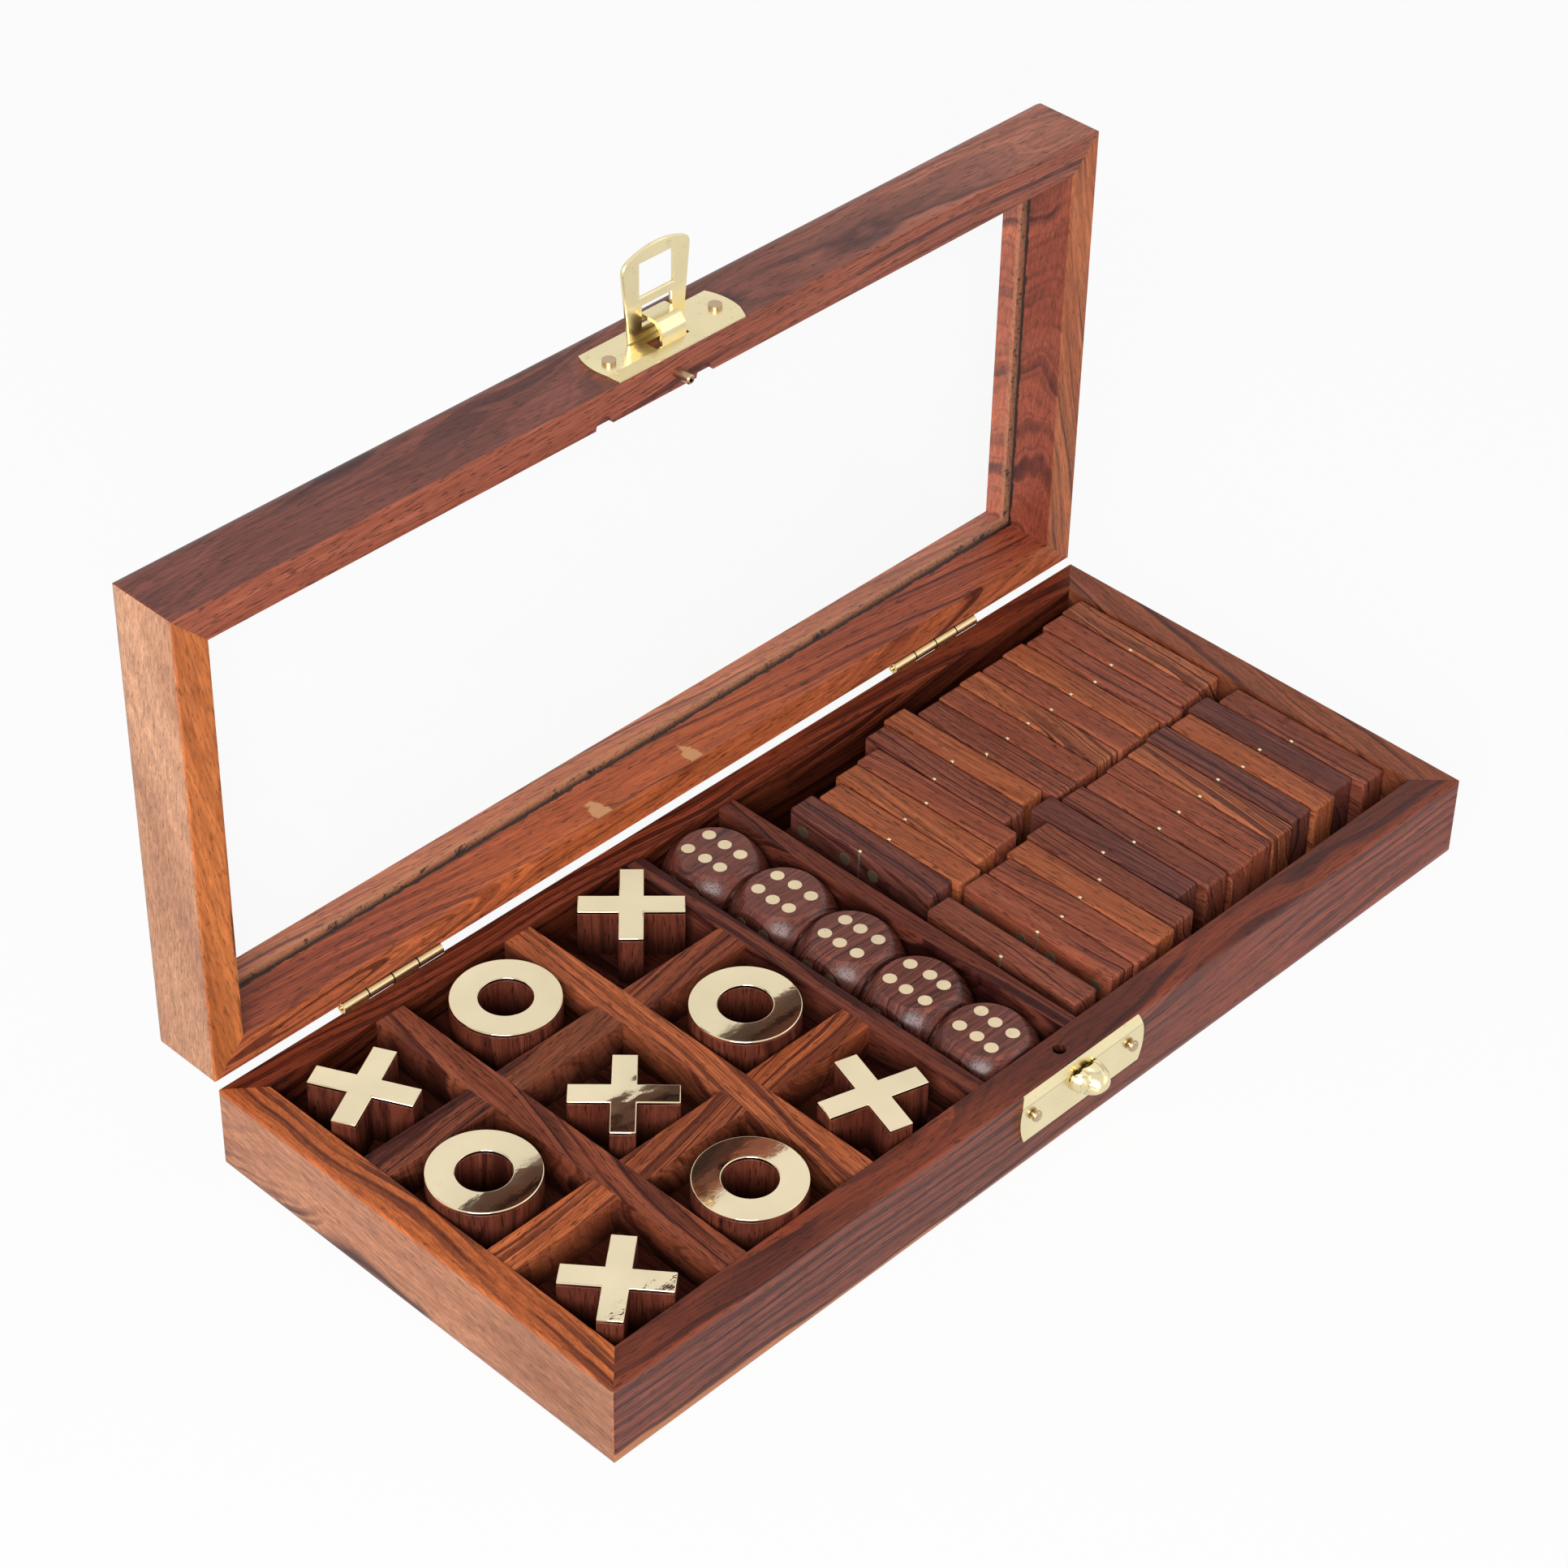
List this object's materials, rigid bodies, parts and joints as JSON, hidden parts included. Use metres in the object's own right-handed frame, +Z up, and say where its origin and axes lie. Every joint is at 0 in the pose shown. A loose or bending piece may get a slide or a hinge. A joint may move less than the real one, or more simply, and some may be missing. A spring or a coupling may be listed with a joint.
{
  "type": "games compendium box",
  "caption": "Shallow hardwood box with a hinged, glazed lid and a brass hasp, holding a noughts-and-crosses board with inlaid tokens, dice in a channel and dominoes in a tray.",
  "frame": {"origin": "centre of the flat underside of the base", "axes": "+X along the long side towards the dominoes, +Y towards the hinges, +Z up; stored with the lid open, square to the base, and the hasp standing straight out from the lid"},
  "size_m": [0.254, 0.1365, 0.157],
  "materials": {
    "rail_wood": "satin hardwood",
    "panel_wood": "satin hardwood",
    "floor_wood": "satin hardwood",
    "divider_wood": "satin hardwood",
    "token_wood": "satin hardwood under a brass cap",
    "dice_wood": "satin hardwood with brass pips",
    "domino_wood": "satin hardwood with brass inlay",
    "brass": "polished",
    "glass": "clear"
  },
  "bodies": {
    "base": {"base_front_rail": "rail_wood", "base_back_rail": "rail_wood", "base_end_rails": "rail_wood", "bottom_panel": "panel_wood", "grid_floor": "floor_wood", "grid_dividers": "divider_wood", "channel_walls": "divider_wood", "hinge_base_halves": "brass", "strike_plate": "brass", "base_nails": "brass"},
    "lid": {"lid_front_rail": "rail_wood", "lid_back_rail": "rail_wood", "lid_end_rails": "rail_wood", "glass_pane": "glass", "hinge_lid_halves": "brass", "clasp_plate": "brass", "lid_brass_pins": "brass"},
    "hasp": {"hasp": "brass"},
    "cross_1": {"cross_1": "token_wood"},
    "cross_2": {"cross_2": "token_wood"},
    "cross_3": {"cross_3": "token_wood"},
    "cross_4": {"cross_4": "token_wood"},
    "cross_5": {"cross_5": "token_wood"},
    "nought_1": {"nought_1": "token_wood"},
    "nought_2": {"nought_2": "token_wood"},
    "nought_3": {"nought_3": "token_wood"},
    "nought_4": {"nought_4": "token_wood"},
    "die_1": {"die_1": "dice_wood"},
    "die_2": {"die_2": "dice_wood"},
    "die_3": {"die_3": "dice_wood"},
    "die_4": {"die_4": "dice_wood"},
    "die_5": {"die_5": "dice_wood"},
    "domino_01": {"domino_01": "domino_wood"},
    "domino_02": {"domino_02": "domino_wood"},
    "domino_03": {"domino_03": "domino_wood"},
    "domino_04": {"domino_04": "domino_wood"},
    "domino_05": {"domino_05": "domino_wood"},
    "domino_06": {"domino_06": "domino_wood"},
    "domino_07": {"domino_07": "domino_wood"},
    "domino_08": {"domino_08": "domino_wood"},
    "domino_09": {"domino_09": "domino_wood"},
    "domino_10": {"domino_10": "domino_wood"},
    "domino_11": {"domino_11": "domino_wood"},
    "domino_12": {"domino_12": "domino_wood"},
    "domino_13": {"domino_13": "domino_wood"},
    "domino_14": {"domino_14": "domino_wood"},
    "domino_15": {"domino_15": "domino_wood"},
    "domino_16": {"domino_16": "domino_wood"},
    "domino_17": {"domino_17": "domino_wood"},
    "domino_18": {"domino_18": "domino_wood"},
    "domino_19": {"domino_19": "domino_wood"},
    "domino_20": {"domino_20": "domino_wood"},
    "domino_21": {"domino_21": "domino_wood"},
    "domino_22": {"domino_22": "domino_wood"},
    "domino_23": {"domino_23": "domino_wood"},
    "domino_24": {"domino_24": "domino_wood"},
    "domino_25": {"domino_25": "domino_wood"},
    "domino_26": {"domino_26": "domino_wood"},
    "domino_27": {"domino_27": "domino_wood"},
    "domino_28": {"domino_28": "domino_wood"}
  },
  "joints": [
    {"name": "lid_hinge", "type": "hinge", "parent": "base", "child": "lid", "pos_m": [0, 0.05706, 0.02215], "axis": [-1, 0, 0], "range_deg": [-90, 0]},
    {"name": "hasp_hinge", "type": "hinge", "parent": "lid", "child": "hasp", "pos_m": [0.0022, 0.06521, 0.13751], "axis": [-1, 0, 0], "range_deg": [-90, 90]},
    {"name": "cross_1_lift", "type": "slide", "parent": "base", "child": "cross_1", "axis": [0, 0, 1], "range_m": [0, 0.025]},
    {"name": "cross_2_lift", "type": "slide", "parent": "base", "child": "cross_2", "axis": [0, 0, 1], "range_m": [0, 0.025]},
    {"name": "cross_3_lift", "type": "slide", "parent": "base", "child": "cross_3", "axis": [0, 0, 1], "range_m": [0, 0.025]},
    {"name": "cross_4_lift", "type": "slide", "parent": "base", "child": "cross_4", "axis": [0, 0, 1], "range_m": [0, 0.025]},
    {"name": "cross_5_lift", "type": "slide", "parent": "base", "child": "cross_5", "axis": [0, 0, 1], "range_m": [0, 0.025]},
    {"name": "nought_1_lift", "type": "slide", "parent": "base", "child": "nought_1", "axis": [0, 0, 1], "range_m": [0, 0.025]},
    {"name": "nought_2_lift", "type": "slide", "parent": "base", "child": "nought_2", "axis": [0, 0, 1], "range_m": [0, 0.025]},
    {"name": "nought_3_lift", "type": "slide", "parent": "base", "child": "nought_3", "axis": [0, 0, 1], "range_m": [0, 0.025]},
    {"name": "nought_4_lift", "type": "slide", "parent": "base", "child": "nought_4", "axis": [0, 0, 1], "range_m": [0, 0.025]},
    {"name": "die_1_lift", "type": "slide", "parent": "base", "child": "die_1", "axis": [0, 0, 1], "range_m": [0, 0.025]},
    {"name": "die_2_lift", "type": "slide", "parent": "base", "child": "die_2", "axis": [0, 0, 1], "range_m": [0, 0.025]},
    {"name": "die_3_lift", "type": "slide", "parent": "base", "child": "die_3", "axis": [0, 0, 1], "range_m": [0, 0.025]},
    {"name": "die_4_lift", "type": "slide", "parent": "base", "child": "die_4", "axis": [0, 0, 1], "range_m": [0, 0.025]},
    {"name": "die_5_lift", "type": "slide", "parent": "base", "child": "die_5", "axis": [0, 0, 1], "range_m": [0, 0.025]},
    {"name": "domino_01_lift", "type": "slide", "parent": "base", "child": "domino_01", "axis": [0, 0, 1], "range_m": [0, 0.025]},
    {"name": "domino_02_lift", "type": "slide", "parent": "base", "child": "domino_02", "axis": [0, 0, 1], "range_m": [0, 0.025]},
    {"name": "domino_03_lift", "type": "slide", "parent": "base", "child": "domino_03", "axis": [0, 0, 1], "range_m": [0, 0.025]},
    {"name": "domino_04_lift", "type": "slide", "parent": "base", "child": "domino_04", "axis": [0, 0, 1], "range_m": [0, 0.025]},
    {"name": "domino_05_lift", "type": "slide", "parent": "base", "child": "domino_05", "axis": [0, 0, 1], "range_m": [0, 0.025]},
    {"name": "domino_06_lift", "type": "slide", "parent": "base", "child": "domino_06", "axis": [0, 0, 1], "range_m": [0, 0.025]},
    {"name": "domino_07_lift", "type": "slide", "parent": "base", "child": "domino_07", "axis": [0, 0, 1], "range_m": [0, 0.025]},
    {"name": "domino_08_lift", "type": "slide", "parent": "base", "child": "domino_08", "axis": [0, 0, 1], "range_m": [0, 0.025]},
    {"name": "domino_09_lift", "type": "slide", "parent": "base", "child": "domino_09", "axis": [0, 0, 1], "range_m": [0, 0.025]},
    {"name": "domino_10_lift", "type": "slide", "parent": "base", "child": "domino_10", "axis": [0, 0, 1], "range_m": [0, 0.025]},
    {"name": "domino_11_lift", "type": "slide", "parent": "base", "child": "domino_11", "axis": [0, 0, 1], "range_m": [0, 0.025]},
    {"name": "domino_12_lift", "type": "slide", "parent": "base", "child": "domino_12", "axis": [0, 0, 1], "range_m": [0, 0.025]},
    {"name": "domino_13_lift", "type": "slide", "parent": "base", "child": "domino_13", "axis": [0, 0, 1], "range_m": [0, 0.025]},
    {"name": "domino_14_lift", "type": "slide", "parent": "base", "child": "domino_14", "axis": [0, 0, 1], "range_m": [0, 0.025]},
    {"name": "domino_15_lift", "type": "slide", "parent": "base", "child": "domino_15", "axis": [0, 0, 1], "range_m": [0, 0.025]},
    {"name": "domino_16_lift", "type": "slide", "parent": "base", "child": "domino_16", "axis": [0, 0, 1], "range_m": [0, 0.025]},
    {"name": "domino_17_lift", "type": "slide", "parent": "base", "child": "domino_17", "axis": [0, 0, 1], "range_m": [0, 0.025]},
    {"name": "domino_18_lift", "type": "slide", "parent": "base", "child": "domino_18", "axis": [0, 0, 1], "range_m": [0, 0.025]},
    {"name": "domino_19_lift", "type": "slide", "parent": "base", "child": "domino_19", "axis": [0, 0, 1], "range_m": [0, 0.025]},
    {"name": "domino_20_lift", "type": "slide", "parent": "base", "child": "domino_20", "axis": [0, 0, 1], "range_m": [0, 0.025]},
    {"name": "domino_21_lift", "type": "slide", "parent": "base", "child": "domino_21", "axis": [0, 0, 1], "range_m": [0, 0.025]},
    {"name": "domino_22_lift", "type": "slide", "parent": "base", "child": "domino_22", "axis": [0, 0, 1], "range_m": [0, 0.025]},
    {"name": "domino_23_lift", "type": "slide", "parent": "base", "child": "domino_23", "axis": [0, 0, 1], "range_m": [0, 0.025]},
    {"name": "domino_24_lift", "type": "slide", "parent": "base", "child": "domino_24", "axis": [0, 0, 1], "range_m": [0, 0.025]},
    {"name": "domino_25_lift", "type": "slide", "parent": "base", "child": "domino_25", "axis": [0, 0, 1], "range_m": [0, 0.025]},
    {"name": "domino_26_lift", "type": "slide", "parent": "base", "child": "domino_26", "axis": [0, 0, 1], "range_m": [0, 0.025]},
    {"name": "domino_27_lift", "type": "slide", "parent": "base", "child": "domino_27", "axis": [0, 0, 1], "range_m": [0, 0.025]},
    {"name": "domino_28_lift", "type": "slide", "parent": "base", "child": "domino_28", "axis": [0, 0, 1], "range_m": [0, 0.025]}
  ]
}
